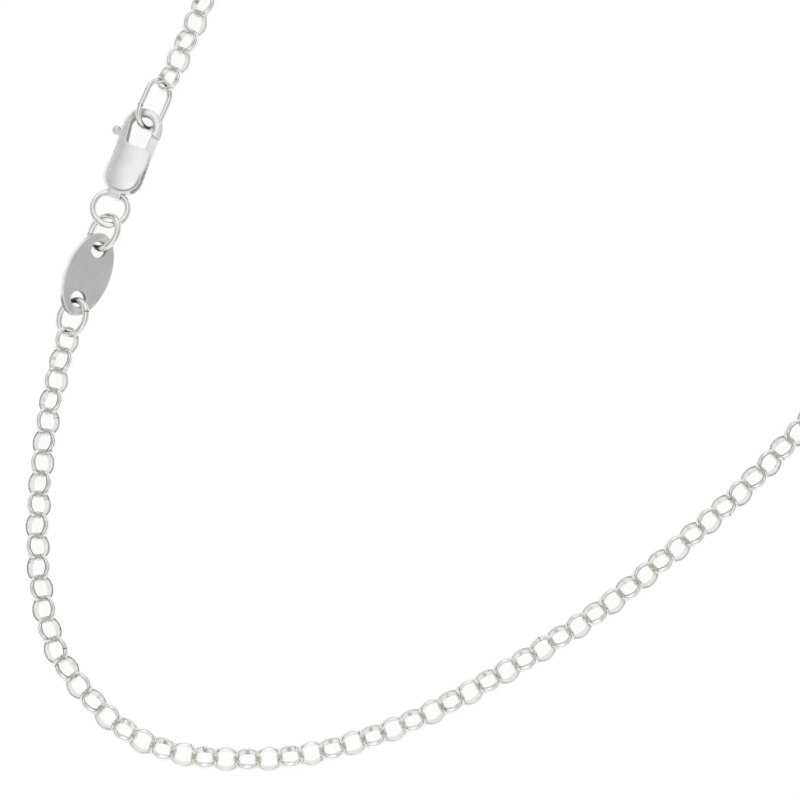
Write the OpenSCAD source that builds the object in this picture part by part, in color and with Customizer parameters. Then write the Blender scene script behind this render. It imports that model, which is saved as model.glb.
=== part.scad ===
// Rolo chain necklace lying on a table, with a lobster clasp, an oval tag and its wire rings.
// The neck goes through the loop at the origin, the table is the plane z = 0, and lengths are in mm.
// The pieces are placed in the order of travel round the loop: clasp, ring, ring, tag, ring, chain,
// long link and back to the clasp. A heading is the angle of travel from +X, seen from above.
// A positive lean lifts a piece's left-hand side, so neighbours lean in turn to either side.

/* [Chain links] */
// Outer diameter of a chain link
link_d = 2.98; // [2.8:0.02:3.3]
// Thickness of a link's band, from its inside to the top of its domed outside
link_wall = 0.26; // [0.2:0.01:0.3]
// Width of a link's band
link_w = 0.8; // [0.6:0.02:0.86]
// Radius of the domed outside of the band, across its width
link_outer_dome = 0.62; // [0.56:0.02:0.9]
// Radius of the gently domed inside of the band, across its width
link_inner_dome = 0.7; // [0.6:0.05:1]
// Lean of each link from lying flat
link_lean = 41; // [36:1:45]
// Free play between two links at full stretch
link_play = 0.16; // [0.14:0.01:0.3]

/* [Wire rings] */
// Outer diameter of the three wire rings
ring_d = 4.5; // [4.2:0.1:5.2]
// Wire of the three rings
ring_wire = 0.66; // [0.5:0.02:0.7]
// Lean of the two rings beside the tag
ring_lean = 40; // [37:1:44]
// Free play between the clasp's ring and the tag's top ring
ring_play = 0.42; // [0.38:0.02:0.6]
// Free play between the tag's bottom ring and the first chain link
ring_link_play = 0.24; // [0.2:0.02:0.5]

/* [Tag] */
// Length of the oval tag
tag_l = 9.6; // [9:0.1:12]
// Width of the oval tag
tag_w = 5.2; // [4.6:0.1:5.8]
// Thickness of the tag
tag_t = 0.8; // [0.6:0.05:1.1]
// Diameter of the tag's two holes
tag_hole_d = 1.8; // [1.6:0.05:2.2]
// Metal between a hole and the end of the tag
tag_end = 0.95; // [0.7:0.05:1.2]
// Lift of the tag's left edge
tag_lean = 28; // [15:1:32]
// Gap between a ring's wire and the end of the hole that it pulls on
tag_play = 0.4; // [0.3:0.05:0.5]

/* [Long link] */
// Length of the long link
long_l = 6.2; // [5.8:0.1:7.5]
// Width of the long link
long_w = 4.2; // [4:0.1:4.6]
// Wire of the long link
long_wire = 0.57; // [0.45:0.01:0.6]
// Lean of the long link
long_lean = 48; // [46:1:52]
// Free play between the long link and the last chain link
long_play = 0.32; // [0.26:0.02:0.5]

/* [Clasp] */
// Width of the clasp
clasp_w = 4.42; // [4.1:0.02:5]
// Thickness of the clasp at its middle
clasp_t = 2.0; // [1.9:0.05:2.4]
// Distance from the end eye to the foot of the opening
opening_foot = 5.5; // [5.3:0.1:6.5]
// Length of the straight sides of the opening
opening_l = 2.25; // [1.9:0.05:2.8]
// Width of the hook's metal
hook_w = 0.93; // [0.8:0.01:1.05]
// Width of the left arm at the foot of the opening
arm_w = 1.25; // [1:0.05:1.4]
// Angle of the hook's end past its half circle
hook_past = 17; // [10:1:22]
// Gap between the gate and the hook's end
gate_gap = 0.1; // [0.06:0.01:0.16]
// Thickness of the lever
lever_t = 0.7; // [0.6:0.05:0.8]
// Diameter of the lever's pin
pin_d = 0.7; // [0.5:0.05:0.9]
// Diameter of the thumb ball
ball_d = 1.1; // [1:0.05:1.3]
// Width of the end eye
eye_w = 1.35; // [1:0.05:1.6]
// Metal round the end eye's hole
eye_wall = 0.32; // [0.3:0.02:0.4]

/* [Hidden] */
$fn = 48;
// Clearance beside the lever in its slot
clear = 0.1;
// Clearance of the clasp's ring in the end eye, and how far the long link's end passes the hook's centre
eye_clear = 0.18;
long_past = 0.15;
// How far the gate's outer face lies inside the body's edge
gate_in = 0.02;
// Radial clearance of the pin in the lever, and of its seat in the body
bore_clear = 0.04;
seat_clear = 0.02;

// Route of the chain from the first link to the last, between the ends worked out from the fittings.
// These few points are chosen by hand: down the left, round the bend, out to the right and back.
ROUTE = [
    [-64, -43], [-65, -52.5], [-65, -60], [-63.5, -68], [-61, -72.5], [-55.5, -78],
    [-49.5, -80.5], [-40.5, -81], [-32, -79.5], [-22, -75.5], [-7, -66.5], [2, -59.5],
    [13.5, -49], [33, -26.5], [46.5, -8.5], [58, 11.2], [65.7, 33.5], [66.7, 56.3],
    [55.6, 76.1], [33.1, 81.2], [10.8, 73.6], [-7.9, 58.9], [-23, 41.5], [-36, 23.5], [-45, 8]
];

// Place and direction of the tag, which the other fittings follow on both sides
tag_at = [-60.08, -28.14];
tag_heading = 248.5;

// Directions from each fitting's centre to the next one's, and headings of the clasp and long link
clasp_heading = 249;
heading_clasp_to_ring = 250;
heading_ring_to_ring = 257;
heading_ring_to_tag = 250.5;
heading_tag_to_ring = 257;
heading_ring_to_chain = 255.5;
long_heading = 247;
heading_long_to_clasp = 244.5;
heading_chain_to_long = 242;

// Slope of the tag's bottom ring down to the chain
ring_slope = 3;

// Lever: metal round its bore, its place in the body, and the widths of its two bars
hub_wall = 0.36;
pivot_in = 0.25;
pivot_under = 0.45;
elbow_in = 0.6;
elbow_under = 0.5;
ball_past = 0.95;
bar_w = 0.7;
neck_w = 0.4;
// Length of the pin, and the lever's slot from where it starts to how far it passes the opening's foot
pin_l = 1.4;
slot_foot = 2.9;
slot_past = 0.8;

// Roll of the clasp's right side off the table, and rise of its hook end
clasp_roll = 7;
clasp_rise = 4.5;

// Curves of the clasp, across and along its faces
clasp_dome_across = 7.4;
clasp_dome_along = 30;
clasp_dome_at = 3.6;
dome_lift = 0.04;
dome_sides = 240;
clasp_corner_r = 1.95;
plate_corner_r = 0.5;

// Chain link radii
link_r = link_d / 2;
link_in = link_r - link_wall;
link_pitch = 2 * link_in - link_play;

// Wire ring radii, to the middle of the wire and to its inside
ring_mid = (ring_d - ring_wire) / 2;
ring_in = ring_d / 2 - ring_wire;

// Resting heights of the leaning pieces' centres
link_dome_drop = link_outer_dome - sqrt(pow(link_outer_dome, 2) - pow(link_w / 2, 2));
link_z = (link_r - link_dome_drop) * sin(link_lean) + link_w / 2 * cos(link_lean);
ring_z = ring_mid * sin(ring_lean) + ring_wire / 2;
ring_z_sloped = ring_mid * sqrt(1 - pow(cos(ring_lean) * cos(ring_slope), 2)) + ring_wire / 2;
tag_z = tag_w / 2 * sin(tag_lean) + tag_t / 2 * cos(tag_lean);
long_z = (long_w - long_wire) / 2 * sin(long_lean) + long_wire / 2;
clasp_z = clasp_t / 2 + (clasp_dome_across - clasp_t / 2) * (1 - cos(clasp_roll));

// Distances between the centres of pieces that hold each other
tag_hole_at = tag_l / 2 - tag_end - tag_hole_d / 2;
ring_to_hole = ring_mid + tag_hole_d / 2 - ring_wire / 2 - tag_play;
ring_to_ring = 2 * ring_in - ring_play;
ring_to_link = ring_in + link_in - ring_link_play;
long_to_link = long_l / 2 - long_wire + link_in - long_play;

// Clasp sizes that follow from the driving ones
hook_in = clasp_w / 2 - hook_w;
hook_at = opening_foot + opening_l;
clasp_l = hook_at + clasp_w;
eye_sag = ring_mid - sqrt(pow(ring_mid, 2) - pow(eye_w / 2, 2));
eye_hole_r = (ring_wire + eye_sag) / 2 + eye_clear;
slot_t = lever_t + 2 * clear;
hub_r = pin_d / 2 + bore_clear + hub_wall;
pivot = [clasp_w / 2 - hub_r - pivot_in, opening_foot - hub_r - pivot_under];
elbow = [elbow_in - clasp_w / 2, opening_foot - elbow_under];
ball_at = [-clasp_w / 2 - clear - ball_d / 2, opening_foot + ball_past];
slot_end = opening_foot + slot_past;

function dir(a) = [cos(a), sin(a)];
function flat(p) = [p[0], p[1]];
function at(p, z) = [p[0], p[1], z];

// Frame of a piece: its centre, heading, rise along it and lean about its length
function shift_m(p) = [[1, 0, 0, p[0]], [0, 1, 0, p[1]], [0, 0, 1, p[2]], [0, 0, 0, 1]];
function turn_x(a) = [[1, 0, 0, 0], [0, cos(a), -sin(a), 0], [0, sin(a), cos(a), 0], [0, 0, 0, 1]];
function turn_y(a) = [[cos(a), 0, sin(a), 0], [0, 1, 0, 0], [-sin(a), 0, cos(a), 0], [0, 0, 0, 1]];
function turn_z(a) = [[cos(a), -sin(a), 0, 0], [sin(a), cos(a), 0, 0], [0, 0, 1, 0], [0, 0, 0, 1]];
function piece_frame(p, heading, rise, lean) =
    shift_m(p) * turn_z(heading) * turn_y(-rise) * turn_x(lean);
function in_frame(m, p) = flat3(m * [p[0], p[1], p[2], 1]);
function flat3(p) = [p[0], p[1], p[2]];

// Centres of the fittings in plan, outwards from the tag
top_hole = tag_at - tag_hole_at * dir(tag_heading);
bottom_hole = tag_at + tag_hole_at * dir(tag_heading);
tag_ring_top_at = top_hole - ring_to_hole * dir(heading_ring_to_tag);
tag_ring_bottom_at = bottom_hole + ring_to_hole * dir(heading_tag_to_ring);
clasp_ring_at = tag_ring_top_at - ring_to_ring * dir(heading_ring_to_ring);
clasp_at = clasp_ring_at - ring_mid * dir(heading_clasp_to_ring);
first_link = tag_ring_bottom_at + ring_to_link * dir(heading_ring_to_chain);

// The clasp's own frame has its eye at the origin, its hook towards +Y and its right side at +X
clasp_frame = shift_m(at(clasp_at, clasp_z)) * turn_z(clasp_heading - 270)
    * turn_x(clasp_rise) * turn_y(-clasp_roll);
hook_centre = in_frame(clasp_frame, [0, hook_at, 0]);
long_at = flat(hook_centre) - (long_l / 2 - long_past) * dir(heading_long_to_clasp);
last_link = long_at - long_to_link * dir(heading_chain_to_long);

// The clasp ring hangs between the eye and the next ring, so it slopes from one to the other
clasp_ring_rise = asin((ring_z - clasp_z) / (2 * ring_mid));
clasp_ring_z = (ring_z + clasp_z) / 2;

// Smooth curve through the route: each point has the direction of its neighbours' chord
function chord_dir(a, b, c) = (c - a) / (norm(b - a) + norm(c - b));
function knot_dir(k, i) =
    let(n = len(k) - 1)
    i == 0 ? (k[1] - k[0]) / norm(k[1] - k[0])
    : i == n ? (k[n] - k[n - 1]) / norm(k[n] - k[n - 1])
    : chord_dir(k[i - 1], k[i], k[i + 1]);
function curve_point(a, b, da, db, t) =
    let(s = norm(b - a))
    (2 * pow(t, 3) - 3 * pow(t, 2) + 1) * a + (pow(t, 3) - 2 * pow(t, 2) + t) * s * da
    + (3 * pow(t, 2) - 2 * pow(t, 3)) * b + (pow(t, 3) - pow(t, 2)) * s * db;

knots = concat([first_link], ROUTE, [last_link]);
curve_steps = 16;
curve = concat([
    for (i = [0 : len(knots) - 2])
        for (j = [0 : curve_steps - 1])
            curve_point(knots[i], knots[i + 1], knot_dir(knots, i), knot_dir(knots, i + 1), j / curve_steps)
], [last_link]);

// Length travelled at each point of the curve
function running(list, i = 0, sum = 0, out = []) =
    i == len(list) - 1 ? concat(out, [sum])
    : running(list, i + 1, sum + norm(list[i + 1] - list[i]), concat(out, [sum]));
travel = running(curve);
chain_l = travel[len(travel) - 1];

// An even number of links, so that the first and last lean to opposite sides
link_count = 2 * ceil((chain_l / link_pitch + 1) / 2);
link_step = chain_l / (link_count - 1);
function step_of(s) = min(len([for (t = travel) if (t <= s) 1]), len(curve) - 1) - 1;
function along(s) =
    let(i = step_of(s), part = (s - travel[i]) / (travel[i + 1] - travel[i]))
    curve[i] + part * (curve[i + 1] - curve[i]);
link_places = [for (k = [0 : link_count - 1]) along(k * link_step)];
function link_heading(k) =
    let(a = link_places[max(k - 1, 0)], b = link_places[min(k + 1, link_count - 1)])
    atan2(b[1] - a[1], b[0] - a[0]);

// Cross-section of a link's band: domed outside, gently domed inside, with a small flat rim
module band_section() {
    intersection() {
        translate([link_in, -link_w / 2])
            square([link_wall, link_w]);
        translate([link_r - link_outer_dome, 0])
            circle(r = link_outer_dome);
        translate([link_in + link_inner_dome, 0])
            circle(r = link_inner_dome);
    }
}

module chain_link() {
    rotate_extrude()
        band_section();
}

module rolo_chain() {
    color("silver")
        for (k = [0 : link_count - 1])
            multmatrix(piece_frame(at(link_places[k], link_z), link_heading(k), 0,
                    (k % 2 == 0 ? -1 : 1) * link_lean))
                chain_link();
}

// A round wire ring, lying across its own Z axis
module wire_ring() {
    rotate_extrude()
        translate([ring_mid, 0])
            circle(d = ring_wire);
}

module clasp_ring() {
    color("silver")
        multmatrix(piece_frame(at(clasp_ring_at, clasp_ring_z), heading_clasp_to_ring, clasp_ring_rise, 0))
            wire_ring();
}

module tag_ring_top() {
    color("silver")
        multmatrix(piece_frame(at(tag_ring_top_at, ring_z), heading_ring_to_tag, 0, ring_lean))
            wire_ring();
}

module tag_ring_bottom() {
    color("silver")
        multmatrix(piece_frame(at(tag_ring_bottom_at, ring_z_sloped), heading_tag_to_ring,
                -ring_slope, ring_lean))
            wire_ring();
}

// Oval plate with a hole near each end
module tag() {
    sides = 72;
    color("gainsboro")
        multmatrix(piece_frame(at(tag_at, tag_z), tag_heading, 0, -tag_lean))
            difference() {
                linear_extrude(tag_t, center = true)
                    polygon([for (i = [0 : sides - 1])
                        [tag_l / 2 * cos(i * 360 / sides), tag_w / 2 * sin(i * 360 / sides)]]);
                for (side = [-1, 1])
                    translate([side * tag_hole_at, 0, 0])
                        cylinder(d = tag_hole_d, h = 2 * tag_t, center = true);
            }
}

// Oval wire link: two half rings joined by straight sides
module long_link() {
    half = (long_l - long_w) / 2;
    mid = (long_w - long_wire) / 2;
    color("silver")
        multmatrix(piece_frame(at(long_at, long_z), long_heading, 0, -long_lean))
            for (side = [0, 180])
                rotate([0, 0, side]) {
                    translate([half, 0, 0])
                        rotate([0, 0, -90])
                            rotate_extrude(angle = 180)
                                translate([mid, 0])
                                    circle(d = long_wire);
                    translate([-half, mid, 0])
                        rotate([0, 90, 0])
                            cylinder(d = long_wire, h = 2 * half);
                }
}

// Plan of the clasp: rounded body, left arm and hook, with the opening and the gap for the gate
module clasp_plan() {
    difference() {
        union() {
            for (side = [-1, 1])
                translate([side * (clasp_w / 2 - clasp_corner_r), clasp_corner_r])
                    circle(r = clasp_corner_r);
            translate([clasp_corner_r - clasp_w / 2, 0])
                square([clasp_w - 2 * clasp_corner_r, opening_foot]);
            translate([-clasp_w / 2, clasp_corner_r])
                square([clasp_w, opening_foot - clasp_corner_r]);
            translate([-clasp_w / 2, opening_foot - clasp_corner_r])
                square([clasp_w, clasp_corner_r + opening_l]);
            translate([0, hook_at])
                circle(d = clasp_w);
        }
        translate([0, hook_at])
            circle(r = hook_in);
        polygon([[arm_w - clasp_w / 2, opening_foot], [hook_in, opening_foot],
            [hook_in, hook_at], [-hook_in, hook_at]]);
        gate_gap_plan();
    }
}

// Everything on the right between the foot of the opening and the end of the hook,
// with the round corner of the body below it
module gate_gap_plan() {
    translate([clasp_w / 2 - plate_corner_r, opening_foot - plate_corner_r])
        difference() {
            square(2 * plate_corner_r);
            circle(r = plate_corner_r);
        }
    difference() {
        translate([0, opening_foot])
            square([clasp_w, opening_l + hook_w]);
        translate([0, hook_at])
            rotate([0, 0, -hook_past])
                square([clasp_w, clasp_w]);
        translate([0, hook_at])
            square([clasp_w, clasp_w]);
    }
}

// Both faces are domed across and along, so the clasp thins towards its edges and its hook
module clasp_faces() {
    intersection_for(side = [-1, 1]) {
        translate([0, 0, side * (clasp_dome_across - clasp_t / 2)])
            rotate([90, 0, 0])
                cylinder(r = clasp_dome_across, h = 2 * clasp_l, center = true, $fn = dome_sides);
    }
}

module clasp_lengthwise() {
    intersection_for(side = [-1, 1]) {
        translate([0, clasp_dome_at, side * (clasp_dome_along - clasp_t / 2 - dome_lift)])
            rotate([0, 90, 0])
                cylinder(r = clasp_dome_along, h = 2 * clasp_w, center = true, $fn = dome_sides);
    }
}

// The eye is a tongue at the end of the body, drilled across for the ring
module clasp_body() {
    color("whitesmoke")
        multmatrix(clasp_frame)
            difference() {
                union() {
                    intersection() {
                        linear_extrude(2 * clasp_t, center = true)
                            clasp_plan();
                        clasp_faces();
                        clasp_lengthwise();
                    }
                    rotate([0, 90, 0])
                        cylinder(r = eye_hole_r + eye_wall, h = eye_w, center = true);
                }
                translate([0, -eye_sag / 2, 0])
                    rotate([0, 90, 0])
                        cylinder(r = eye_hole_r, h = 2 * clasp_w, center = true);
                translate([-clasp_w, slot_foot, -slot_t / 2])
                    cube([2 * clasp_w, slot_end - slot_foot, slot_t]);
                translate([pivot[0], pivot[1], 0])
                    cylinder(d = pin_d + 2 * seat_clear, h = pin_l + 2 * seat_clear, center = true);
            }
}

// A straight bar with round ends, lying from a to b
module bar(a, b, w) {
    d = b - a;
    translate(a) {
        rotate([0, 0, atan2(d[1], d[0])])
            translate([0, -w / 2])
                square([norm(d), w]);
        circle(d = w);
    }
    translate(b)
        circle(d = w);
}

module gate_plan() {
    intersection() {
        translate([hook_in, pivot[1]])
            square([hook_w - gate_in, hook_at - pivot[1]]);
        translate([0, hook_at - gate_gap])
            rotate([0, 0, -hook_past])
                translate([0, -2 * clasp_w])
                    square([2 * clasp_w, 2 * clasp_w]);
    }
}

module clasp_lever() {
    color("silver")
        multmatrix(clasp_frame) {
            difference() {
                linear_extrude(lever_t, center = true) {
                    translate(pivot)
                        circle(r = hub_r);
                    gate_plan();
                    bar(pivot, elbow, bar_w);
                    bar(elbow, ball_at, neck_w);
                }
                translate([pivot[0], pivot[1], 0])
                    cylinder(d = pin_d + 2 * bore_clear, h = 2 * lever_t, center = true);
            }
            translate([ball_at[0], ball_at[1], 0])
                sphere(d = ball_d);
        }
}

module clasp_pin() {
    color("gray")
        multmatrix(clasp_frame)
            translate([pivot[0], pivot[1], 0])
                cylinder(d = pin_d, h = pin_l, center = true);
}

rolo_chain();
long_link();
clasp_body();
clasp_lever();
clasp_pin();
clasp_ring();
tag_ring_top();
tag();
tag_ring_bottom();
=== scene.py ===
# Rolo chain necklace, lying on a white table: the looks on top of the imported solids.
# Pieces are built in mm in frames read from the solids, and stored in metres.
import math

import bpy
import numpy as np
from mathutils import Matrix, Vector


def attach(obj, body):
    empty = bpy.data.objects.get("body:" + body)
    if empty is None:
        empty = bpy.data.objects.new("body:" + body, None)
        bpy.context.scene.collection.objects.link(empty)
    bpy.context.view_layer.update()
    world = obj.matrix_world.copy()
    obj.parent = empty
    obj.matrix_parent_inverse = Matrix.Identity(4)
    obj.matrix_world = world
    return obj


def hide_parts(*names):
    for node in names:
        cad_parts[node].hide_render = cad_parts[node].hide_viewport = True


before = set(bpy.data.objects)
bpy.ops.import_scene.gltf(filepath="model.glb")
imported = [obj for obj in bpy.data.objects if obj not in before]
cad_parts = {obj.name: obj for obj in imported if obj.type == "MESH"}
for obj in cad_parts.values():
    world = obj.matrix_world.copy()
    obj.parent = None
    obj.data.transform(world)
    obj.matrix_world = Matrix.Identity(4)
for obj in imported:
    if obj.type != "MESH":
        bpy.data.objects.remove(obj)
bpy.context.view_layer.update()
MM = 0.001

# Sizes of the drawn pieces, in mm and degrees. The links' band and the wires are a little thicker
# than in the solids, and each wire is lifted by its extra radius so that it still rests on the table
LINK_R, RIM_OUT, RIM_IN, LINK_W, LINK_LEAN = 1.55, 1.46, 1.20, 0.75, 42
RING_MID, RING_WIRE, RING_LIFT = 1.92, 0.75, 0.045
LONG_L, LONG_W, LONG_WIRE, LONG_LIFT = 6.2, 4.2, 0.66, 0.045
TAG_L, TAG_W, TAG_T, TAG_HOLE, TAG_HOLE_AT = 9.6, 5.2, 0.8, 0.9, 2.95
CLASP_W, CLASP_T, FOOT, HOOK_AT, HOOK_IN = 4.42, 2.0, 5.5, 7.75, 1.28
FOOT_R, ARM_W, EYE_R, EYE_W, PLATE_R = 1.95, 1.25, 0.74, 1.35, 0.75
CLASP_EYE = (-57.0236, -18.9317, 1.0477)
CLASP_TURN, CLASP_RISE, CLASP_ROLL = -21.0, 4.5, -7.0
PIVOT, HUB_R, LEVER_T, BALL_R = (1.21, 4.3), 0.75, 0.7, 0.53
ELBOW, TURN, BALL_AT = (-1.61, 5.0), (-1.75, 6.3), (-2.58, 6.55)
HOOK_PAST = math.radians(17)
RING_STARTS = {"clasp_ring": 2.2, "tag_ring_top": 0.9, "tag_ring_bottom": 4.0}
FIRST_LINK = (-62.3, -35.4)

# Steps of the surface meshes in mm, and points round a ring and a link
TAG_STEP, CLASP_STEP, LEVER_STEP = 0.06, 0.055, 0.045
RING_STEPS, WIRE_SIDES, LINK_STEPS = 112, 22, 64

# The photograph's camera: distance in m, pixels a mm, and what it looks at
CAM_FAR, PIXELS_PER_MM, CAM_TILT, CAM_ROLL = 0.6, 9.195, 11.1, -2.1
CAM_AT, SENSOR, HALF_IMAGE = (-0.026, -0.0415, 0), 36, 400
FLOOR_HALF = 3.0


# Frames from the solids

def node_mesh(name):
    """A solid's vertices in mm and its triangles."""
    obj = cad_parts[name]
    mesh = obj.data
    co = np.empty(len(mesh.vertices) * 3)
    mesh.vertices.foreach_get("co", co)
    co = co.reshape(-1, 3)
    m = np.array(obj.matrix_world)
    co = co @ m[:3, :3].T + m[:3, 3]
    mesh.calc_loop_triangles()
    tri = np.empty(len(mesh.loop_triangles) * 3, dtype=np.int64)
    mesh.loop_triangles.foreach_get("vertices", tri)
    return co / MM, tri.reshape(-1, 3)


def islands(co, tri):
    """Label of each vertex's loose solid, vertices at one place counted as one."""
    _, same = np.unique(np.round(co, 4), axis=0, return_inverse=True)
    same = same.ravel()
    label = np.arange(same.max() + 1)
    t = same[tri]
    while True:
        low = label[t].min(axis=1)
        new = label.copy()
        for k in range(3):
            np.minimum.at(new, t[:, k], low)
        new = new[new]
        if (new == label).all():
            return label[same]
        label = new


def solid_frame(co, tri):
    """Centroid of the closed mesh and its axes, longest first, the last one pointing up."""
    a, b, c = co[tri[:, 0]], co[tri[:, 1]], co[tri[:, 2]]
    six = np.einsum("ij,ij->i", a, np.cross(b, c))
    centre = ((a + b + c) * six[:, None]).sum(0) / (4 * six.sum())
    area = np.linalg.norm(np.cross(b - a, c - a), axis=1)
    mid = (a + b + c) / 3 - centre
    values, vectors = np.linalg.eigh((mid * area[:, None]).T @ mid)
    x, z = vectors[:, 2], vectors[:, 0]
    z = z if z[2] > 0 else -z
    return centre, np.stack([x, np.cross(z, x), z], axis=1)


def matrix(centre, axes):
    m = Matrix.Identity(4)
    for i in range(3):
        for j in range(3):
            m[i][j] = float(axes[i, j])
        m[i][3] = float(centre[i]) * MM
    return m


# Mesh making

def add_mesh(name, co, faces, place, uv=None, normals=None, painted_shade_and_tone=None):
    """A mesh object made of points in mm; the place goes into the points, so its box isn't turned."""
    place = np.array(place)
    co = np.asarray(co) * MM @ place[:3, :3].T + place[:3, 3]
    mesh = bpy.data.meshes.new(name)
    mesh.from_pydata(co.tolist(), [], np.asarray(faces).tolist())
    mesh.polygons.foreach_set("use_smooth", np.ones(len(mesh.polygons), dtype=bool))
    if uv is not None:
        layer = mesh.uv_layers.new(name="around")
        layer.data.foreach_set("uv", np.asarray(uv, dtype=np.float32).ravel())
    mesh.update()
    # per-point colours: painted shade where pieces touch and in hollows, and a random tone
    shade = mesh.color_attributes.new(name="painted_shade_and_tone", type="FLOAT_COLOR", domain="POINT")
    painted_shade_and_tone = np.zeros((len(co), 3)) if painted_shade_and_tone is None else painted_shade_and_tone
    shade.data.foreach_set("color", np.column_stack([painted_shade_and_tone, np.ones(len(co))]).astype(np.float32).ravel())
    if normals is not None:
        mesh.normals_split_custom_set_from_vertices((np.asarray(normals) @ place[:3, :3].T).tolist())
    obj = bpy.data.objects.new(name, mesh)
    bpy.context.scene.collection.objects.link(obj)
    return obj


def sweep(path, outward, section):
    """A closed tube: the section's (out, up) points carried round the closed path."""
    n, m = len(path), len(section)
    ahead = np.roll(path, -1, 0) - np.roll(path, 1, 0)
    ahead /= np.linalg.norm(ahead, axis=1)[:, None]
    up = np.cross(ahead, outward)
    co = (path[:, None] + section[None, :, 0, None] * outward[:, None]
          - section[None, :, 1, None] * up[:, None]).reshape(-1, 3)
    i, j = np.meshgrid(np.arange(n), np.arange(m), indexing="ij")
    i2, j2 = (i + 1) % n, (j + 1) % m
    faces = np.stack([i * m + j, i2 * m + j, i2 * m + j2, i * m + j2], -1).reshape(-1, 4)
    u, v = i / n, j / m
    du, dv = 1 / n, 1 / m
    uv = np.stack([np.stack([u, v], -1), np.stack([u + du, v], -1),
                   np.stack([u + du, v + dv], -1), np.stack([u, v + dv], -1)], 2).reshape(-1, 2)
    return co, faces, uv


def circle(r, n):
    t = np.arange(n) * 2 * math.pi / n
    return np.stack([r * np.cos(t), r * np.sin(t)], 1)


def surface(f, low, high, step):
    """Closed quad mesh of f = 0 by surface nets, pulled onto the surface, with its normals."""
    axes = [np.arange(a, b + step, step) for a, b in zip(low, high)]
    grid = np.stack(np.meshgrid(*axes, indexing="ij"), -1)
    val = f(grid.reshape(-1, 3)).reshape(grid.shape[:3])
    inside = val < 0
    nx, ny, nz = val.shape
    corner = [(i, j, k) for i in (0, 1) for j in (0, 1) for k in (0, 1)]
    count = sum(inside[i:nx - 1 + i, j:ny - 1 + j, k:nz - 1 + k].astype(np.int8) for i, j, k in corner)
    cells = np.argwhere((count > 0) & (count < 8))
    index = -np.ones((nx - 1, ny - 1, nz - 1), dtype=np.int64)
    index[tuple(cells.T)] = np.arange(len(cells))
    total, hits = np.zeros((len(cells), 3)), np.zeros(len(cells))
    for a in corner:
        for ax in range(3):
            if a[ax]:
                continue
            b = list(a)
            b[ax] = 1
            va = val[tuple((cells + a).T)]
            vb = val[tuple((cells + b).T)]
            cross = (va < 0) != (vb < 0)
            t = np.where(cross, va / np.where(cross, va - vb, 1), 0)
            point = cells + np.array(a, dtype=float)
            point[:, ax] += t
            total += np.where(cross[:, None], point, 0)
            hits += cross
    co = np.array(low) + step * total / hits[:, None]
    faces = []
    for ax in range(3):
        p, q = (ax + 1) % 3, (ax + 2) % 3
        here = [slice(None)] * 3
        there = [slice(None)] * 3
        here[ax], there[ax] = slice(0, -1), slice(1, None)
        change = inside[tuple(here)] != inside[tuple(there)]
        at = np.argwhere(change)
        within = (at[:, p] > 0) & (at[:, q] > 0)
        within &= (at[:, p] < val.shape[p] - 1) & (at[:, q] < val.shape[q] - 1)
        at = at[within]
        ring = []
        for dp, dq in ((0, 0), (-1, 0), (-1, -1), (0, -1)):
            c = at.copy()
            c[:, p] += dp
            c[:, q] += dq
            ring.append(index[tuple(c.T)])
        quad = np.stack(ring, 1)
        flip = inside[tuple(at.T)]
        quad[~flip] = quad[~flip][:, ::-1]
        faces.append(quad)
    faces = np.concatenate(faces)
    eps = step * 0.1
    for _ in range(4):
        g = np.stack([(f(co + eps * e) - f(co - eps * e)) / (2 * eps) for e in np.eye(3)], 1)
        size = np.maximum((g * g).sum(1), 0.2)
        move = f(co)[:, None] * g / size[:, None]
        co -= np.clip(move, -step / 2, step / 2)
    g = np.stack([(f(co + eps * e) - f(co - eps * e)) / (2 * eps) for e in np.eye(3)], 1)
    return co, faces, g / np.linalg.norm(g, axis=1)[:, None]


def both(a, b, r):
    """Overlap of two solids, the edge between them rounded to radius r."""
    a, b = a + r, b + r
    return np.hypot(np.maximum(a, 0), np.maximum(b, 0)) + np.minimum(np.maximum(a, b), 0) - r


def either(a, b, r):
    """Union of two solids, the corner between them filled to radius r."""
    return -both(-a, -b, r)


def smooth(low, high, x):
    t = np.clip((x - low) / (high - low), 0, 1)
    return t * t * (3 - 2 * t)


def box2(x, y, cx, cy, hx, hy, r=0.0):
    dx, dy = np.abs(x - cx) - hx + r, np.abs(y - cy) - hy + r
    return np.hypot(np.maximum(dx, 0), np.maximum(dy, 0)) + np.minimum(np.maximum(dx, dy), 0) - r


def bar2(x, y, a, b, r):
    ax, ay = b[0] - a[0], b[1] - a[1]
    t = np.clip(((x - a[0]) * ax + (y - a[1]) * ay) / (ax * ax + ay * ay), 0, 1)
    return np.hypot(x - a[0] - t * ax, y - a[1] - t * ay) - r


# Shapes

def capsule_plan(x, y):
    """Distance from the clasp's outline, with its round hook end and its round foot."""
    top = HOOK_AT + CLASP_W
    body = box2(x, y, 0, top / 2, CLASP_W / 2, top / 2, FOOT_R)
    hook = np.hypot(x, y - HOOK_AT) - CLASP_W / 2
    return np.where(y > HOOK_AT, hook, body)


def opening_plan(x, y):
    """The hole in the clasp: round at the hook, square at its foot, the left side slanting in."""
    round_end = np.hypot(x, y - HOOK_AT) - HOOK_IN
    slant = (HOOK_IN - CLASP_W / 2 + ARM_W) / (HOOK_AT - FOOT)
    left = -(x + HOOK_IN - (HOOK_AT - y) * slant)
    right = x - HOOK_IN
    low = FOOT - y
    straight = both(both(left, low, 0.45), right, 0.1)
    return np.where(y > HOOK_AT, round_end, straight)


def gap_plan(x, y):
    """What is cut away on the right, between the body's plate and the hook's end."""
    end = (y - HOOK_AT) * math.cos(HOOK_PAST) + x * math.sin(HOOK_PAST)
    edge = box2(x, y, HOOK_IN + 3, FOOT + 3, 3, 3, 0.05)
    cx, cy = x - CLASP_W / 2 + PLATE_R, y - FOOT + PLATE_R
    rounded = np.maximum(np.maximum(-cx, -cy), PLATE_R - np.hypot(cx, cy))
    return np.maximum(np.minimum(edge, rounded), end)


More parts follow.
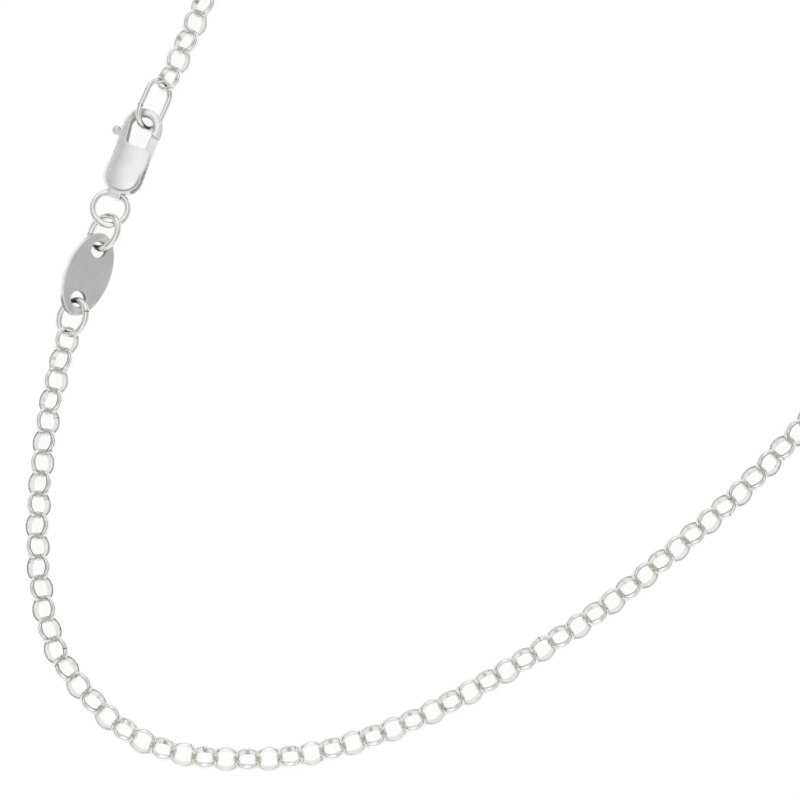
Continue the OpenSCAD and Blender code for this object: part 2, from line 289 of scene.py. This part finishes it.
def face_height(x, y):
    """Half thickness of the clasp: domed across, fuller towards its left edge, thinner at the hook."""
    across = x * x / 14.0
    left = np.clip(-x - 0.7, 0, None)
    along = np.clip(y - 3.4, 0, None) ** 2 / 150 + np.clip(2.4 - y, 0, None) ** 2 / 36
    return CLASP_T / 2 - 0.01 - across - 0.10 * left ** 2 * np.clip((6.6 - y) / 2, 0.35, 1) - along


def clasp_solid(p):
    x, y, z = p.T
    face = (np.abs(z) - face_height(x, y)) * 0.93
    wall = capsule_plan(x, y)
    right = smooth(-0.9, 0.9, x)
    body = both(wall + 0.12 * right, face, 0.5 - 0.38 * right)
    rim = both(wall, np.abs(z) - face_height(x, y) + 0.17, 0.07)
    body = np.where(right > 0, np.minimum(body, rim + 0.5 * (1 - right)), body)
    hook_right = smooth(6.9, 8.0, y) * smooth(-0.6, 0.6, x)
    hole = -opening_plan(x, y)
    body = both(body, hole, 0.10 + 0.36 * hook_right)
    body = both(body, -gap_plan(x, y), 0.05)
    tongue = both(np.hypot(y, z) - EYE_R, np.abs(x) - EYE_W / 2, 0.1)
    body = either(body, tongue, 0.1)
    sag = x * x / (2 * RING_MID) + 0.03
    body = both(body, 0.42 - np.hypot(y + sag, z - 0.12 * x), 0.05)
    slot = np.maximum(np.abs(y - 4.2) - 1.3, np.abs(z) - 0.45)
    thumb = np.maximum(np.maximum(np.abs(y - 6.0) - 1.1, np.abs(z) - 0.45), x + 1.4)
    body = both(body, -np.minimum(slot, thumb), 0.03)
    seat = BALL_R + 0.05 - np.sqrt((x - BALL_AT[0]) ** 2 + (y - BALL_AT[1]) ** 2 + z ** 2)
    return both(body, seat, 0.04)


def lever_solid(p):
    x, y, z = p.T
    hub = np.hypot(x - PIVOT[0], y - PIVOT[1]) - HUB_R
    side = CLASP_W / 2 + 0.02
    gate = box2(x, y, (HOOK_IN + side) / 2, 6.1, (side - HOOK_IN) / 2, 1.8, 0.03)
    end = (y - HOOK_AT + 0.1) * math.cos(HOOK_PAST) + x * math.sin(HOOK_PAST)
    gate = both(gate, end, 0.05)
    arm = bar2(x, y, PIVOT, ELBOW, 0.35)
    neck = np.minimum(bar2(x, y, ELBOW, TURN, 0.2), bar2(x, y, TURN, BALL_AT, 0.34))
    flat = np.minimum(np.minimum(hub, gate), np.minimum(arm, neck))
    plate = both(flat, np.abs(z) - LEVER_T / 2, 0.07)
    plate = np.maximum(plate, 0.39 - np.hypot(x - PIVOT[0], y - PIVOT[1]))
    ball = np.sqrt((x - BALL_AT[0]) ** 2 + (y - BALL_AT[1]) ** 2 + z ** 2) - BALL_R
    return either(plate, ball, 0.08)


def tag_solid(p):
    x, y, z = p.T
    a, b = TAG_L / 2, TAG_W / 2
    k = np.hypot(x / a, y / b)
    edge = k * (k - 1) / (np.hypot(x / a ** 2, y / b ** 2) + 1e-9)
    plate = both(edge, np.abs(z) - TAG_T / 2, 0.13)
    for side in (-1, 1):
        plate = both(plate, TAG_HOLE - np.hypot(x - side * TAG_HOLE_AT, y), 0.07)
    return plate


# Materials

def nodes_of(name):
    mat = bpy.data.materials.new(name)
    mat.use_nodes = True
    tree = mat.node_tree
    shader = tree.nodes["Principled BSDF"]
    return mat, tree, shader


def add(tree, kind, **values):
    node = tree.nodes.new(kind)
    for key, value in values.items():
        if key in node.inputs:
            node.inputs[key].default_value = value
        else:
            setattr(node, key, value)
    return node


def noise(tree, vector, scale, detail=3.0, rough=0.55):
    node = add(tree, "ShaderNodeTexNoise")
    node.inputs["Scale"].default_value = scale
    node.inputs["Detail"].default_value = detail
    node.inputs["Roughness"].default_value = rough
    tree.links.new(vector, node.inputs["Vector"])
    return node.outputs["Fac"]


def stretched(tree, vector, scale, turn=0.0):
    """Coordinates turned back about Z by an angle in radians, then scaled along the turned axes."""
    node = add(tree, "ShaderNodeMapping", vector_type="TEXTURE")
    node.inputs["Scale"].default_value = [1 / k for k in scale]
    node.inputs["Rotation"].default_value = (0, 0, turn)
    tree.links.new(vector, node.inputs["Vector"])
    return node.outputs["Vector"]


def ramp(tree, fac, stops):
    node = add(tree, "ShaderNodeValToRGB")
    cr = node.color_ramp
    while len(cr.elements) < len(stops):
        cr.elements.new(0.5)
    for e, (pos, col) in zip(cr.elements, stops):
        e.position = pos
        e.color = (*col, 1) if len(col) == 3 else col
    tree.links.new(fac, node.inputs["Fac"])
    return node.outputs["Color"]


def value_range(tree, fac, a, b, low=0.0, high=1.0):
    node = add(tree, "ShaderNodeMapRange")
    for key, v in (("From Min", low), ("From Max", high), ("To Min", a), ("To Max", b)):
        node.inputs[key].default_value = v
    tree.links.new(fac, node.inputs["Value"])
    return node.outputs["Result"]


def maths(tree, op, a, b):
    node = add(tree, "ShaderNodeMath", operation=op)
    for k, v in enumerate((a, b)):
        if isinstance(v, (int, float)):
            node.inputs[k].default_value = v
        else:
            tree.links.new(v, node.inputs[k])
    return node.outputs[0]


def bumped(tree, shader, height, strength, distance):
    node = add(tree, "ShaderNodeBump")
    node.inputs["Strength"].default_value = strength
    node.inputs["Distance"].default_value = distance
    tree.links.new(height, node.inputs["Height"])
    tree.links.new(node.outputs["Normal"], shader.inputs["Normal"])


def blend(tree, fac, a, b):
    """Mix of two colours by a factor; a and b are sockets or plain colours."""
    node = add(tree, "ShaderNodeMix", data_type="RGBA")
    tree.links.new(fac, node.inputs["Factor"])
    for key, c in (("A", a), ("B", b)):
        if isinstance(c, tuple):
            node.inputs[key].default_value = (*c, 1)
        else:
            tree.links.new(c, node.inputs[key])
    return node.outputs["Result"]


def polished(name, tone, dull=0.0, seam=False):
    """Bright silver: worn patches, fine scratches, painted shade with a warm tint where pieces cross, and a
    seam.
    """
    mat, tree, shader = nodes_of(name)
    where = add(tree, "ShaderNodeTexCoord").outputs["Object"]
    painted_shade_and_tone = add(tree, "ShaderNodeVertexColor", layer_name="painted_shade_and_tone").outputs["Color"]
    parts = add(tree, "ShaderNodeSeparateColor")
    tree.links.new(painted_shade_and_tone, parts.inputs["Color"])
    # vertex colours: painted shade where pieces cross, painted darkening (links' inner walls, lever's ball
    # end), each link's random tone
    contact_shade, painted_darker, own = (parts.outputs[k] for k in ("Red", "Green", "Blue"))
    shader.inputs["Metallic"].default_value = 1.0
    film = noise(tree, where, 900, 3)
    dark = tuple(t * k for t, k in zip(tone, (0.92, 0.915, 0.89)))
    colour = ramp(tree, film, [(0.35, dark), (0.6, tone)])
    colour = blend(tree, value_range(tree, own, 0.0, 0.45), colour, tuple(t * 0.92 for t in tone))
    # painted shade, grey and warm, on the links' inner walls; the lever's ball end is painted darker the same
    # way
    colour = blend(tree, maths(tree, "MULTIPLY", painted_darker, 0.55), colour, (0.70, 0.69, 0.66))
    # painted shade, warm and in patches, where pieces cross
    patches = value_range(tree, noise(tree, where, 3200, 2), 0.1, 0.6, 0.35, 0.65)
    patchy_shade = maths(tree, "MULTIPLY", contact_shade, patches)
    colour = blend(tree, patchy_shade, colour, (0.42, 0.395, 0.325))
    if seam:
        uv = add(tree, "ShaderNodeUVMap", uv_map="around").outputs["UV"]
        split = add(tree, "ShaderNodeSeparateXYZ")
        tree.links.new(uv, split.inputs["Vector"])
        wobble = value_range(tree, noise(tree, where, 5000, 2), -0.006, 0.006)
        u = maths(tree, "ADD", split.outputs["X"], wobble)
        off = maths(tree, "ABSOLUTE", maths(tree, "SUBTRACT", u, 0.5), 0.0)
        line = value_range(tree, off, 1.0, 0.0, 0.0, 0.009)
        worn = ramp(tree, noise(tree, where, 1500, 1), [(0.42, (0, 0, 0)), (0.52, (1, 1, 1))])
        colour = blend(tree, maths(tree, "MULTIPLY", line, worn), colour, (0.10, 0.09, 0.08))
    tree.links.new(colour, shader.inputs["Base Color"])
    rough = noise(tree, where, 2600, 4)
    tree.links.new(value_range(tree, rough, 0.07 + dull, 0.22 + dull, 0.3, 0.7), shader.inputs["Roughness"])
    fine = noise(tree, stretched(tree, where, (1, 1, 0.25), 0.6), 9000, 3)
    broad = noise(tree, where, 1400, 2)
    height = maths(tree, "ADD", maths(tree, "MULTIPLY", fine, 0.25), broad)
    bumped(tree, shader, height, 0.35, 0.00002)
    return mat


def satin(name, tone, rough, along, turn):
    """Brushed silver: fine lines one way, cloudy roughness, and painted shade, dark grey and warm brown,
    where the vertex colours say so.
    """
    mat, tree, shader = nodes_of(name)
    where = add(tree, "ShaderNodeTexCoord").outputs["Object"]
    shader.inputs["Metallic"].default_value = 1.0
    cloud = noise(tree, where, 700, 4)
    low = tuple(t * 0.9 for t in tone)
    painted_shade_and_tone = add(tree, "ShaderNodeVertexColor", layer_name="painted_shade_and_tone").outputs["Color"]
    parts = add(tree, "ShaderNodeSeparateColor")
    tree.links.new(painted_shade_and_tone, parts.inputs["Color"])
    colour = ramp(tree, cloud, [(0.3, low), (0.7, tone)])
    # painted shade, near black, on hollow walls: the clasp's opening and step, the tag's holes
    colour = blend(tree, maths(tree, "MULTIPLY", parts.outputs["Green"], 0.92), colour, (0.12, 0.115, 0.11))
    # painted shade, warm brown and in patches, on the clasp's lower walls and where pieces touch
    patches = value_range(tree, noise(tree, where, 2500, 2), 0.65, 1.0, 0.35, 0.65)
    patchy_shade = maths(tree, "MULTIPLY", parts.outputs["Red"], patches)
    colour = blend(tree, patchy_shade, colour, (0.22, 0.195, 0.15))
    tree.links.new(colour, shader.inputs["Base Color"])
    lines = noise(tree, stretched(tree, where, along, turn), 6000, 4, 0.65)
    grain = noise(tree, where, 16000, 2)
    mixed = maths(tree, "ADD", maths(tree, "MULTIPLY", lines, 0.7), maths(tree, "MULTIPLY", grain, 0.3))
    dullness = value_range(tree, mixed, rough - 0.07, rough + 0.07, 0.35, 0.65)
    tree.links.new(dullness, shader.inputs["Roughness"])
    bumped(tree, shader, mixed, 0.3, 0.00002)
    return mat


SILVER = polished("chain_silver", (0.955, 0.965, 0.945), seam=True)
WIRE = polished("wire_silver", (0.88, 0.885, 0.855), seam=True)
LEVER = polished("lever_silver", (0.93, 0.93, 0.925), dull=0.3)
PIN = polished("pin_silver", (0.85, 0.84, 0.82), dull=0.1)
CLASP = satin("clasp_satin", (0.93, 0.935, 0.935), 0.36, (1, 0.12, 1), math.radians(CLASP_TURN + 9))


def dress(obj, mat, slot, body, *nodes):
    obj.data.materials.append(mat)
    if nodes:
        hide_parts(*nodes)
    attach(obj, body)


# Chain

def corner(centre, r, start, stop, count):
    """Points and normals round a rounded corner, angles in degrees."""
    t = np.radians(np.linspace(start, stop, count))
    n = np.stack([np.cos(t), np.sin(t)], 1)
    return np.array(centre) + r * n, n


def band_section(n_out=8, n_in=2, r_out=0.05, r_in=0.07):
    """Cross-section of a link's band as (radius, height) points and normals.

    The outside is slightly domed, the rims are flat and the inside is plain."""
    top = LINK_W / 2
    drop = LINK_R - RIM_OUT
    dome_r = (top ** 2 + drop ** 2) / (2 * drop)
    lean = math.asin((top - r_out) / dome_r)
    outer = corner((LINK_R - dome_r, 0), dome_r, -math.degrees(lean), math.degrees(lean), n_out)
    edge_out = corner((RIM_OUT - r_out, top - r_out), r_out, math.degrees(lean), 90, 4)
    edge_in = corner((RIM_IN + r_in, top - r_in), r_in, 90, 180, 4)
    z = np.linspace(top - r_in, -top + r_in, n_in + 2)[1:-1]
    inside = np.stack([np.full(n_in, RIM_IN), z], 1), np.tile([-1.0, 0.0], (n_in, 1))
    flip = np.array([1, -1])
    halves = []
    for k in (0, 1):
        cap = np.concatenate([edge_out[k], edge_in[k]])
        halves.append(np.concatenate([outer[k][1:-1], cap, inside[k], cap[::-1] * flip]))
    return halves


def chain_piece(name, frames, sides=LINK_STEPS):
    """Links as one mesh; the vertex colours hold (painted shade near a neighbour, painted shade on the
    inside, the link's own random tone).
    """
    section, across = band_section()
    # painted shade on the band's inner wall
    painted_darker = smooth(RIM_IN + 0.09, RIM_IN + 0.01, section[:, 0])
    cos, normals, faces_all, uv_all, shade_and_tone_rows, start = [], [], [], [], [], 0
    for centre, axes, ahead, seed in frames:
        local = np.random.default_rng(seed)
        t = np.arange(sides) * 2 * math.pi / sides + local.uniform(0, 2 * math.pi)
        out = np.stack([np.cos(t), np.sin(t), 0 * t], 1)
        co, faces, uv = sweep(out * LINK_R, out, section - [LINK_R, 0])
        world = co @ axes.T
        n = out[:, None] * across[None, :, 0, None] + [0, 0, 1] * across[None, :, 1, None]
        normals.append(n.reshape(-1, 3) @ axes.T)
        # painted shade at the link's two ends, where its neighbours cross it
        contact_shade = smooth(0.72, 1.12, np.abs(world @ ahead))
        own = np.full(len(co), local.uniform())
        shade_and_tone_rows.append(np.stack([contact_shade, np.tile(painted_darker, sides), own], 1))
        cos.append(world + centre)
        faces_all.append(faces + start)
        uv_all.append(uv)
        start += len(co)
    return add_mesh(name, np.concatenate(cos), np.concatenate(faces_all), Matrix.Identity(4),
                    uv=np.concatenate(uv_all), normals=np.concatenate(normals), painted_shade_and_tone=np.concatenate(shade_and_tone_rows))


co, tri = node_mesh("rolo_chain")
label = islands(co, tri)
links = []
for k in np.unique(label):
    pick = label[tri[:, 0]] == k
    centre, axes = solid_frame(co, tri[pick])
    links.append((centre, axes))
# order of travel: the nearest link comes next, from the one beside the tag's lower ring
start = min(range(len(links)), key=lambda i: np.hypot(*(links[i][0][:2] - FIRST_LINK)))
order, left = [start], set(range(len(links))) - {start}
while left:
    here = links[order[-1]][0]
    following = min(left, key=lambda i: np.linalg.norm(links[i][0] - here))
    order.append(following)
    left.remove(following)
centres = np.array([links[i][0] for i in order])
aheads = np.gradient(centres, axis=0)
aheads /= np.linalg.norm(aheads, axis=1)[:, None]


def leaning(centre, axes, ahead):
    """A link's centre and axes: lying on the table, leaning to the side that its solid leans to."""
    aside = np.cross([0, 0, 1], ahead)
    aside /= np.linalg.norm(aside)
    lean = math.radians(LINK_LEAN) * np.sign(axes[:, 2] @ aside)
    normal = math.sin(lean) * aside + math.cos(lean) * np.array([0, 0, 1])
    side = np.cross(normal, ahead)
    height = RIM_OUT * abs(math.sin(lean)) + LINK_W / 2 * math.cos(lean) - 0.005
    return np.array([centre[0], centre[1], height]), np.stack([ahead, side, normal], 1)


links = [(*leaning(*links[i], aheads[n]), aheads[n], 100 + n) for n, i in enumerate(order)]
third = len(links) // 3
parts = (("chain_lower", links[:third]),
         ("chain_right", links[third:2 * third]),
         ("chain_upper", links[2 * third:]))
for name, some in parts:
    dress(chain_piece(name, some), SILVER, "polished_silver", "necklace", "rolo_chain")


# Rings and long link

PLACES = {node: node_mesh(node)[0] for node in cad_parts}


def near_others(node, points):
    """Distance in mm from each point to the nearest other piece, 1 mm at most."""
    low, high = points.min(0) - 1, points.max(0) + 1
    hidden = ("clasp_pin", "clasp_lever", node)
    shown = [co for name, co in PLACES.items() if name not in hidden]
    others = np.concatenate([co[((co > low) & (co < high)).all(1)] for co in shown])
    best = np.ones(len(points))
    for k in range(0, len(points), 500):
        some = points[k:k + 500]
        gap = np.sqrt(((some[:, None] - others[None]) ** 2).sum(2).min(1))
        best[k:k + 500] = np.minimum(gap, 1)
    return best


def shaded_by_contact(node, points, low=0.5, high=0.15):
    """Painted shade of a piece: its first value rises where another piece touches it."""
    contact_shade = smooth(-low, -high, -near_others(node, points))
    return np.stack([contact_shade, 0 * contact_shade, 0 * contact_shade + 0.5], 1)


def wire_piece(path, r, sides=WIRE_SIDES):
    """A closed round wire along a flat path."""
    ahead = np.roll(path, -1, 0) - np.roll(path, 1, 0)
    out = np.stack([ahead[:, 1], -ahead[:, 0], 0 * ahead[:, 0]], 1)
    out /= np.linalg.norm(out, axis=1)[:, None]
    return sweep(path, out, circle(r, sides))


for node in RING_STARTS:
    co, tri = node_mesh(node)
    centre, axes = solid_frame(co, tri)
    centre[2] += RING_LIFT
    t = np.arange(RING_STEPS) * 2 * math.pi / RING_STEPS + RING_STARTS[node]
    path = np.stack([RING_MID * np.cos(t), RING_MID * np.sin(t), 0 * t], 1)
    co, faces, uv = wire_piece(path, RING_WIRE / 2)
    # painted shade where other pieces touch the ring
    painted_shade_and_tone = shaded_by_contact(node, co @ axes.T + centre)
    dress(add_mesh(node + "_wire", co, faces, matrix(centre, axes), uv=uv, painted_shade_and_tone=painted_shade_and_tone), WIRE,
          "polished_silver", "necklace", node)

co, tri = node_mesh("long_link")
centre, axes = solid_frame(co, tri)
centre[2] += LONG_LIFT
mid, half = (LONG_W - LONG_WIRE) / 2, (LONG_L - LONG_W) / 2
t = np.linspace(-math.pi / 2, math.pi / 2, 49)[:-1]
bend = np.stack([half + mid * np.cos(t), mid * np.sin(t), 0 * t], 1)
run = np.linspace(half, -half, 16)[:-1]
side = np.stack([run, 0 * run + mid, 0 * run], 1)
path = np.concatenate([bend, side, -bend, -side])
co, faces, uv = wire_piece(path, LONG_WIRE / 2)
# painted shade where other pieces touch the long link
painted_shade_and_tone = shaded_by_contact("long_link", co @ axes.T + centre, 0.95, 0.35)
dress(add_mesh("long_link_wire", co, faces, matrix(centre, axes), uv=uv, painted_shade_and_tone=painted_shade_and_tone), WIRE,
      "polished_silver", "necklace", "long_link")


# Tag and clasp

co, tri = node_mesh("tag")
centre, axes = solid_frame(co, tri)
tag_turn = math.atan2(axes[1, 0], axes[0, 0]) + 0.15
TAG = satin("tag_satin", (0.87, 0.87, 0.86), 0.34, (0.12, 1, 1), tag_turn)
co, faces, normals = surface(tag_solid, (-4.95, -2.75, -0.55), (4.95, 2.75, 0.55), TAG_STEP)
# painted shade where the rings touch the tag
painted_shade_and_tone = shaded_by_contact("tag", co @ axes.T + centre, 0.6, 0.2)
# painted shade: the walls of the two holes are darker
from_hole = np.abs(np.hypot(np.abs(co[:, 0]) - TAG_HOLE_AT, co[:, 1]) - TAG_HOLE)
painted_shade_and_tone[:, 1] = smooth(0.3, 0.8, 1 - np.abs(normals[:, 2])) * smooth(1.0, 1.3, TAG_HOLE + 1.2 - from_hole)
dress(add_mesh("tag_plate", co, faces, matrix(centre, axes), normals=normals, painted_shade_and_tone=painted_shade_and_tone), TAG,
      "satin_silver", "necklace", "tag")

turn = (Matrix.Translation(Vector(CLASP_EYE) * MM) @ Matrix.Rotation(math.radians(CLASP_TURN), 4, "Z")
        @ Matrix.Rotation(math.radians(CLASP_RISE), 4, "X")
        @ Matrix.Rotation(math.radians(CLASP_ROLL), 4, "Y"))
co, faces, normals = surface(clasp_solid, (-2.4, -1.1, -1.15), (2.4, 10.1, 1.15), CLASP_STEP)
m = np.array(turn)
# painted shade where other pieces touch the clasp
painted_shade_and_tone = shaded_by_contact("clasp_body", co @ m[:3, :3].T + m[:3, 3] / MM, 0.9, 0.25)
x, y, z = co.T
wall = smooth(0.35, 0.8, 1 - np.abs(normals[:, 2]))
low_right = 0.45 * smooth(0.0, 1.2, x) * smooth(4.5, 3.0, y) * smooth(0.2, 0.6, y)
# painted shade, warm brown: near the hook where the ring touches, and on the lower part of the walls,
# reaching higher low on the right
at_hook = painted_shade_and_tone[:, 0] * 0.6 * (y > 7)
painted_shade_and_tone[:, 0] = np.maximum(at_hook, wall * smooth(0.4, 0.0, z - low_right) * smooth(0.3, 0.7, y))
# painted shade, dark, on the walls of the opening at its foot
painted_shade_and_tone[:, 1] = wall * smooth(-0.35, -0.1, -opening_plan(x, y)) * smooth(FOOT - 0.5, FOOT + 0.3, y)
# painted shade in the step inside the rim and on the lowest wall, both low on the right
edge = capsule_plan(x, y)
low_corner = smooth(-0.9, 0.6, x) * smooth(3.4, 1.6, y) * (z > 0)
step = smooth(-0.52, -0.34, edge) * smooth(-0.16, -0.30, edge)
painted_shade_and_tone[:, 1] = np.maximum(painted_shade_and_tone[:, 1], 0.75 * step * low_corner * smooth(0.2, 0.6, normals[:, 2]))
lowest = smooth(-0.15, -0.05, edge) * smooth(0.0, 1.0, x) * smooth(5.2, 4.0, y) * (y > 0.5)
painted_shade_and_tone[:, 0] = np.maximum(painted_shade_and_tone[:, 0], lowest)
dress(add_mesh("clasp_shell", co, faces, turn, normals=normals, painted_shade_and_tone=painted_shade_and_tone), CLASP,
      "satin_silver", "necklace", "clasp_body")
co, faces, normals = surface(lever_solid, (-3.5, 3.4, -0.65), (2.4, 8.1, 0.65), LEVER_STEP)
painted_shade_and_tone = np.zeros((len(co), 3))
# the ball end and its neck are painted darker
painted_shade_and_tone[:, 1] = smooth(-1.9, -2.1, co[:, 0])
dress(add_mesh("clasp_gate", co, faces, turn, normals=normals, painted_shade_and_tone=painted_shade_and_tone), LEVER, "polished_silver", "lever",
      "clasp_lever")
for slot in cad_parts["clasp_pin"].material_slots:
    slot.material = PIN


# Floor, light and camera

floor = bpy.data.meshes.new("floor")
far = FLOOR_HALF
floor.from_pydata([(-far, -far, 0), (far, -far, 0), (far, far, 0), (-far, far, 0)], [], [(0, 1, 2, 3)])
floor_obj = bpy.data.objects.new("floor", floor)
bpy.context.scene.collection.objects.link(floor_obj)
mat, tree, shader = nodes_of("floor_white")
shader.inputs["Roughness"].default_value = 0.8
shader.inputs["Specular IOR Level"].default_value = 0.1
where = add(tree, "ShaderNodeTexCoord").outputs["Object"]
tree.links.new(ramp(tree, noise(tree, where, 40, 2), [(0.3, (0.27, 0.27, 0.27)), (0.7, (0.29, 0.29, 0.29))]),
               shader.inputs["Base Color"])
shader.inputs["Emission Color"].default_value = (1, 1, 1, 1)
shader.inputs["Emission Strength"].default_value = 0.8
floor.materials.append(mat)

world = bpy.data.worlds.new("studio")
bpy.context.scene.world = world
world.use_nodes = True
tree = world.node_tree
where = add(tree, "ShaderNodeTexCoord").outputs["Generated"]
split = add(tree, "ShaderNodeSeparateXYZ")
tree.links.new(where, split.inputs["Vector"])
# soft light: white overhead and at the front and back, greyer at the sides, with a thin dark horizon
aside = maths(tree, "ABSOLUTE", split.outputs["X"], 0.0)
height = split.outputs["Z"]
ceiling = ramp(tree, aside, [(0.0, (1.1, 1.1, 1.1)), (0.15, (1.05, 1.05, 1.05)), (0.33, (0.80, 0.81, 0.81)),
                             (0.57, (0.50, 0.515, 0.52)), (0.77, (0.42, 0.425, 0.43)),
                             (1.0, (0.34, 0.34, 0.35))])
sides = ramp(tree, height, [(0.0, (0.12, 0.12, 0.13)), (0.12, (0.20, 0.20, 0.21)), (0.20, (0.66, 0.66, 0.67)),
                            (0.28, (0.98, 0.98, 0.99)), (0.45, (0.92, 0.92, 0.93))])
ends = ramp(tree, height, [(0.0, (0.30, 0.30, 0.29)), (0.08, (0.40, 0.40, 0.39)), (0.18, (0.98, 0.98, 0.98)),
                           (0.4, (1.05, 1.05, 1.05))])
low = blend(tree, value_range(tree, aside, 0.0, 1.0, 0.25, 0.8), ends, sides)
sky = blend(tree, value_range(tree, height, 0.0, 1.0, 0.38, 0.55), low, ceiling)
back = tree.nodes["Background"]
tree.links.new(sky, back.inputs["Color"])
back.inputs["Strength"].default_value = 1.0


scene = bpy.context.scene
scene.view_settings.view_transform = "Standard"
scene.view_settings.look = "None"
cam_data = bpy.data.cameras.new("photo_camera")
cam_data.sensor_width = SENSOR
cam_data.lens = SENSOR / 2 / (HALF_IMAGE / PIXELS_PER_MM * MM / CAM_FAR)
cam_data.clip_start, cam_data.clip_end = 0.01, 10
cam = bpy.data.objects.new("photo_camera", cam_data)
scene.collection.objects.link(cam)
tilt, roll = math.radians(CAM_TILT), math.radians(CAM_ROLL)
back_dir = Vector((math.sin(roll), -math.sin(tilt) * math.cos(roll), math.cos(tilt) * math.cos(roll)))
cam.location = Vector(CAM_AT) + back_dir * CAM_FAR
side_dir = (-back_dir).cross(Vector((0, 1, 0))).normalized()
up_dir = back_dir.cross(side_dir)
cam.rotation_mode = "QUATERNION"
cam.rotation_quaternion = Matrix((side_dir, up_dir, back_dir)).transposed().to_quaternion()
scene.camera = cam
